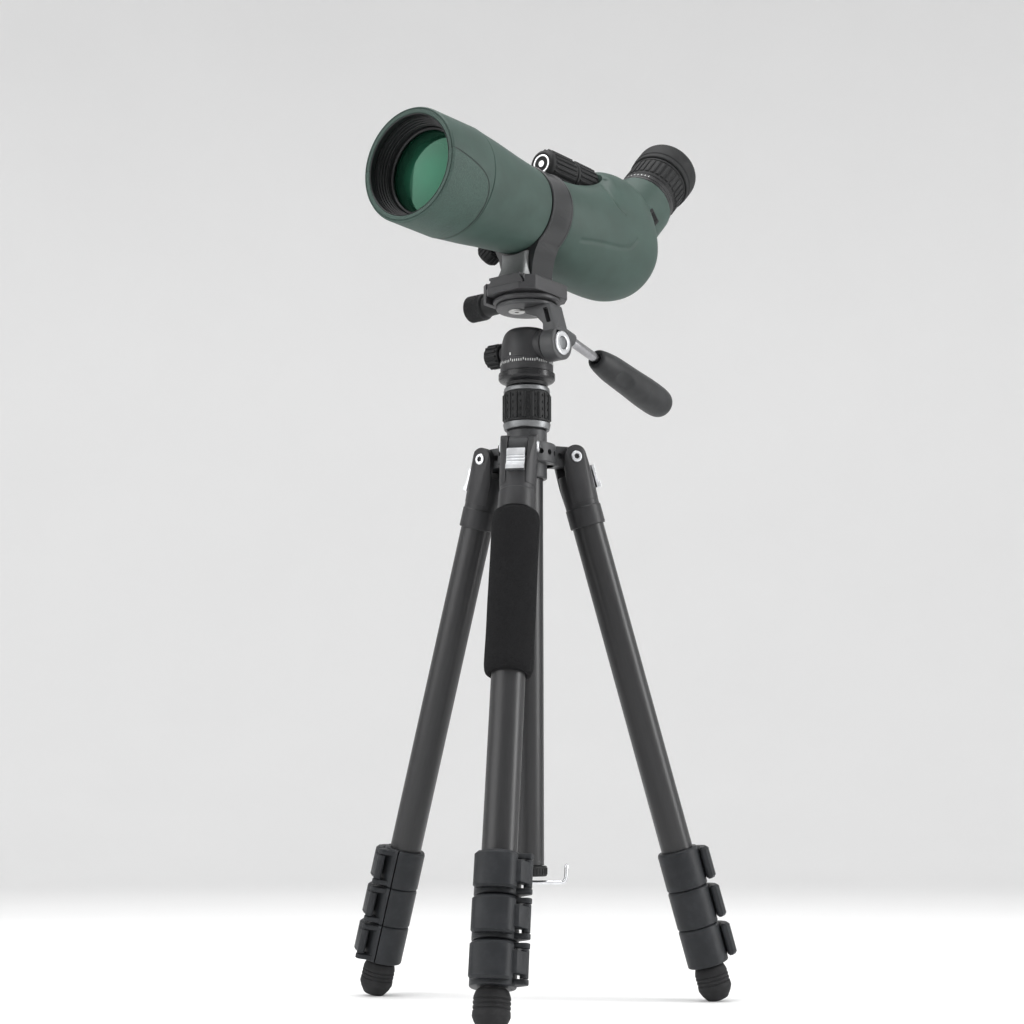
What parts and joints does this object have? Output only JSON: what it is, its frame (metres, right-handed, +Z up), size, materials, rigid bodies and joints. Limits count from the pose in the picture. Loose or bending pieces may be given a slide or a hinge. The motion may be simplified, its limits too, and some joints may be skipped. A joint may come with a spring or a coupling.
{
  "type": "spotting scope on a tripod",
  "caption": "Angled spotting scope with a sliding hood, dual focus knobs and a zoom eyepiece, on a pan and tilt head and a folding tripod with flip-lock legs.",
  "frame": {"origin": "centre of the bounding box in plan, on the floor under the feet", "axes": "+Z up along the centre column; the scope looks along -Y and the eyepiece points up towards +Y; +X is to the side with the pan handle"},
  "size_m": [0.262, 0.3702, 0.7077],
  "materials": {
    "armour": "matt grey-green rubber armour with a fine grain",
    "black_anodised": "satin black anodising",
    "black_casting": "black powder coat on a die casting",
    "black_plastic": "matt black glass-filled nylon",
    "black_rubber": "matt black rubber",
    "foam": "closed-cell foam",
    "chrome": "polished",
    "brushed_steel": "brushed",
    "coated_glass": "multi-coated optical glass"
  },
  "bodies": {
    "spider": {"spider": "black_casting"},
    "twist_lock": {"column_twist_lock": "black_rubber"},
    "column": {"centre_column": "black_anodised", "pan_base": "black_anodised"},
    "hook": {"weight_hook": "chrome"},
    "pan_head": {"pan_head_body": "black_casting"},
    "pan_lock": {"pan_lock_knob": "black_rubber"},
    "tilt_head": {"tilt_arm": "black_casting", "handle_rod": "chrome", "clamp_body": "black_casting"},
    "grip": {"handle_grip": "black_rubber"},
    "jaw": {"clamp_jaw": "black_casting"},
    "jaw_knob": {"clamp_knob": "black_rubber"},
    "mount_foot": {"tripod_collar": "black_anodised", "quick_release_plate": "black_casting"},
    "collar_lock": {"collar_lock_knob": "black_rubber"},
    "scope": {"objective_barrel": "armour", "prism_housing": "armour", "objective_cell": "black_anodised", "objective_lens": "coated_glass", "erecting_prism": "coated_glass", "eyepiece_body": "black_anodised", "eye_lens": "coated_glass"},
    "hood": {"objective_hood": "armour"},
    "fine_focus": {"fine_focus_knob": "black_rubber"},
    "coarse_focus": {"coarse_focus_knob": "black_rubber"},
    "focusing_cell": {"focusing_lens": "coated_glass"},
    "release_button": {"eyepiece_release_button": "black_plastic"},
    "zoom_ring": {"zoom_ring": "black_rubber"},
    "zoom_group": {"zoom_lens": "coated_glass"},
    "eyecup": {"eyecup": "black_rubber"},
    "front_leg": {"front_leg_casting": "black_casting", "front_leg_section_1": "black_anodised", "foam_grip": "foam"},
    "front_stop": {"front_angle_stop": "brushed_steel"},
    "front_section_2": {"front_leg_section_2": "black_anodised"},
    "front_section_3": {"front_leg_section_3": "black_anodised"},
    "front_section_4": {"front_leg_section_4": "black_anodised"},
    "front_lever_1": {"front_lock_lever_1": "black_plastic"},
    "front_lever_2": {"front_lock_lever_2": "black_plastic"},
    "front_lever_3": {"front_lock_lever_3": "black_plastic"},
    "right_leg": {"right_leg_casting": "black_casting", "right_leg_section_1": "black_anodised"},
    "right_stop": {"right_angle_stop": "brushed_steel"},
    "right_section_2": {"right_leg_section_2": "black_anodised"},
    "right_section_3": {"right_leg_section_3": "black_anodised"},
    "right_section_4": {"right_leg_section_4": "black_anodised"},
    "right_lever_1": {"right_lock_lever_1": "black_plastic"},
    "right_lever_2": {"right_lock_lever_2": "black_plastic"},
    "right_lever_3": {"right_lock_lever_3": "black_plastic"},
    "left_leg": {"left_leg_casting": "black_casting", "left_leg_section_1": "black_anodised"},
    "left_stop": {"left_angle_stop": "brushed_steel"},
    "left_section_2": {"left_leg_section_2": "black_anodised"},
    "left_section_3": {"left_leg_section_3": "black_anodised"},
    "left_section_4": {"left_leg_section_4": "black_anodised"},
    "left_lever_1": {"left_lock_lever_1": "black_plastic"},
    "left_lever_2": {"left_lock_lever_2": "black_plastic"},
    "left_lever_3": {"left_lock_lever_3": "black_plastic"}
  },
  "joints": [
    {"name": "twist_lock_turn", "type": "hinge", "parent": "spider", "child": "twist_lock", "pos_m": [0.0353, -0.03503, 0.44155], "axis": [0, 0, 1], "range_deg": [0, 120]},
    {"name": "column_rise", "type": "slide", "parent": "spider", "child": "column", "axis": [0, 0, 1], "range_m": [0, 0.28]},
    {"name": "hook_swivel", "type": "hinge", "parent": "column", "child": "hook", "pos_m": [0.0353, -0.03503, 0.09756], "axis": [0, 0, 1], "continuous": true},
    {"name": "pan", "type": "hinge", "parent": "column", "child": "pan_head", "pos_m": [0.0353, -0.03503, 0.47156], "axis": [0, 0, 1], "continuous": true},
    {"name": "pan_lock_turn", "type": "hinge", "parent": "pan_head", "child": "pan_lock", "pos_m": [0.0133, -0.03503, 0.48756], "axis": [-1, 0, 0], "range_deg": [0, 270]},
    {"name": "tilt", "type": "hinge", "parent": "pan_head", "child": "tilt_head", "pos_m": [0.0353, -0.03503, 0.48856], "axis": [1, 0, 0], "range_deg": [-45, 60]},
    {"name": "handle_twist", "type": "hinge", "parent": "tilt_head", "child": "grip", "pos_m": [0.0623, -0.01803, 0.49606], "axis": [0, 0.9763, -0.2164], "range_deg": [0, 90]},
    {"name": "jaw_open", "type": "slide", "parent": "tilt_head", "child": "jaw", "axis": [-1, 0, 0], "range_m": [0, 0.003]},
    {"name": "jaw_knob_turn", "type": "hinge", "parent": "jaw", "child": "jaw_knob", "pos_m": [0.0053, -0.03503, 0.52955], "axis": [-1, 0, 0], "range_deg": [0, 721]},
    {"name": "plate_slide", "type": "slide", "parent": "tilt_head", "child": "mount_foot", "axis": [0, 1, 0], "range_m": [-0.02, 0.02]},
    {"name": "collar_lock_turn", "type": "hinge", "parent": "mount_foot", "child": "collar_lock", "pos_m": [-0.00034, -0.03503, 0.57251], "axis": [-0.829, 0, -0.5592], "range_deg": [0, 270]},
    {"name": "scope_roll", "type": "hinge", "parent": "mount_foot", "child": "scope", "pos_m": [0.0353, -0.03503, 0.59655], "axis": [0, 1, 0], "range_deg": [-90, 90]},
    {"name": "hood_slide", "type": "slide", "parent": "scope", "child": "hood", "axis": [0, -1, 0], "range_m": [0, 0.03]},
    {"name": "fine_focus_turn", "type": "hinge", "parent": "scope", "child": "fine_focus", "pos_m": [0.0353, -0.00503, 0.64306], "axis": [0, -1, 0], "range_deg": [-1350, 1350]},
    {"name": "coarse_focus_turn", "type": "hinge", "parent": "scope", "child": "coarse_focus", "pos_m": [0.0353, 0.02497, 0.64306], "axis": [0, -1, 0], "range_deg": [-271, 271]},
    {"name": "focus_travel", "type": "slide", "parent": "scope", "child": "focusing_cell", "axis": [0, 1, 0], "range_m": [-0.0061, 0.0061]},
    {"name": "release_press", "type": "slide", "parent": "scope", "child": "release_button", "axis": [-1, 0, 0], "range_m": [0, 0.0018], "stiffness_N_per_m": 600},
    {"name": "zoom_turn", "type": "hinge", "parent": "scope", "child": "zoom_ring", "pos_m": [0.0353, 0.14114, 0.66373], "axis": [0, 0.7071, 0.7071], "range_deg": [0, 165]},
    {"name": "zoom_travel", "type": "slide", "parent": "scope", "child": "zoom_group", "axis": [0, 0.7071, 0.7071], "range_m": [0, 0.0101]},
    {"name": "eyecup_rise", "type": "slide", "parent": "scope", "child": "eyecup", "axis": [0, 0.7071, 0.7071], "range_m": [0, 0.008]},
    {"name": "front_leg_fold", "type": "hinge", "parent": "spider", "child": "front_leg", "pos_m": [0.052, -0.06579, 0.40556], "axis": [-0.8788, -0.4772, 0], "range_deg": [-14, 0]},
    {"name": "front_stop_pull", "type": "slide", "parent": "front_leg", "child": "front_stop", "axis": [0.458, -0.8435, 0.2807], "range_m": [0, 0.004], "stiffness_N_per_m": 400},
    {"name": "front_section_2_extend", "type": "slide", "parent": "front_leg", "child": "front_section_2", "axis": [0.1339, -0.2467, -0.9598], "range_m": [0, 0.22]},
    {"name": "front_section_3_extend", "type": "slide", "parent": "front_section_2", "child": "front_section_3", "axis": [0.1339, -0.2467, -0.9598], "range_m": [0, 0.22]},
    {"name": "front_section_4_extend", "type": "slide", "parent": "front_section_3", "child": "front_section_4", "axis": [0.1339, -0.2467, -0.9598], "range_m": [0, 0.22]},
    {"name": "front_lever_1_open", "type": "hinge", "parent": "front_leg", "child": "front_lever_1", "pos_m": [0.11506, -0.13834, 0.09887], "axis": [-0.1339, 0.2467, 0.9598], "range_deg": [0, 100]},
    {"name": "front_lever_2_open", "type": "hinge", "parent": "front_section_2", "child": "front_lever_2", "pos_m": [0.119, -0.1456, 0.07065], "axis": [-0.1339, 0.2467, 0.9598], "range_deg": [0, 100]},
    {"name": "front_lever_3_open", "type": "hinge", "parent": "front_section_3", "child": "front_lever_3", "pos_m": [0.12294, -0.15285, 0.04243], "axis": [-0.1339, 0.2467, 0.9598], "range_deg": [0, 100]},
    {"name": "right_leg_fold", "type": "hinge", "parent": "spider", "child": "right_leg", "pos_m": [0.05359, -0.00519, 0.40556], "axis": [0.8526, -0.5225, 0], "range_deg": [-14, 0]},
    {"name": "right_stop_pull", "type": "slide", "parent": "right_leg", "child": "right_stop", "axis": [0.5015, 0.8184, 0.2807], "range_m": [0, 0.004], "stiffness_N_per_m": 400},
    {"name": "right_section_2_extend", "type": "slide", "parent": "right_leg", "child": "right_section_2", "axis": [0.1466, 0.2393, -0.9598], "range_m": [0, 0.22]},
    {"name": "right_section_3_extend", "type": "slide", "parent": "right_section_2", "child": "right_section_3", "axis": [0.1466, 0.2393, -0.9598], "range_m": [0, 0.22]},
    {"name": "right_section_4_extend", "type": "slide", "parent": "right_section_3", "child": "right_section_4", "axis": [0.1466, 0.2393, -0.9598], "range_m": [0, 0.22]},
    {"name": "right_lever_1_open", "type": "hinge", "parent": "right_leg", "child": "right_lever_1", "pos_m": [0.08489, 0.0857, 0.09887], "axis": [-0.1466, -0.2393, 0.9598], "range_deg": [0, 100]},
    {"name": "right_lever_2_open", "type": "hinge", "parent": "right_section_2", "child": "right_lever_2", "pos_m": [0.0892, 0.09273, 0.07065], "axis": [-0.1466, -0.2393, 0.9598], "range_deg": [0, 100]},
    {"name": "right_lever_3_open", "type": "hinge", "parent": "right_section_3", "child": "right_lever_3", "pos_m": [0.09352, 0.09977, 0.04243], "axis": [-0.1466, -0.2393, 0.9598], "range_deg": [0, 100]},
    {"name": "left_leg_fold", "type": "hinge", "parent": "spider", "child": "left_leg", "pos_m": [0.00032, -0.03412, 0.40556], "axis": [0.0262, 0.9997, 0], "range_deg": [-14, 0]},
    {"name": "left_stop_pull", "type": "slide", "parent": "left_leg", "child": "left_stop", "axis": [-0.9595, 0.0251, 0.2807], "range_m": [0, 0.004], "stiffness_N_per_m": 400},
    {"name": "left_section_2_extend", "type": "slide", "parent": "left_leg", "child": "left_section_2", "axis": [-0.2806, 0.0073, -0.9598], "range_m": [0, 0.22]},
    {"name": "left_section_3_extend", "type": "slide", "parent": "left_section_2", "child": "left_section_3", "axis": [-0.2806, 0.0073, -0.9598], "range_m": [0, 0.22]},
    {"name": "left_section_4_extend", "type": "slide", "parent": "left_section_3", "child": "left_section_4", "axis": [-0.2806, 0.0073, -0.9598], "range_m": [0, 0.22]},
    {"name": "left_lever_1_open", "type": "hinge", "parent": "left_leg", "child": "left_lever_1", "pos_m": [-0.09405, -0.05245, 0.09887], "axis": [0.2806, -0.0073, 0.9598], "range_deg": [0, 100]},
    {"name": "left_lever_2_open", "type": "hinge", "parent": "left_section_2", "child": "left_lever_2", "pos_m": [-0.10229, -0.05224, 0.07065], "axis": [0.2806, -0.0073, 0.9598], "range_deg": [0, 100]},
    {"name": "left_lever_3_open", "type": "hinge", "parent": "left_section_3", "child": "left_lever_3", "pos_m": [-0.11054, -0.05202, 0.04243], "axis": [0.2806, -0.0073, 0.9598], "range_deg": [0, 100]}
  ],
  "couplings": [
    {"joint": "coarse_focus_turn", "follows": "fine_focus_turn", "ratio": 0.2},
    {"joint": "focus_travel", "follows": "fine_focus_turn", "m_per_rad": 0.00025465},
    {"joint": "jaw_knob_turn", "follows": "jaw_open", "rad_per_m": 4188.8},
    {"joint": "zoom_travel", "follows": "zoom_turn", "m_per_rad": 0.0034725}
  ]
}
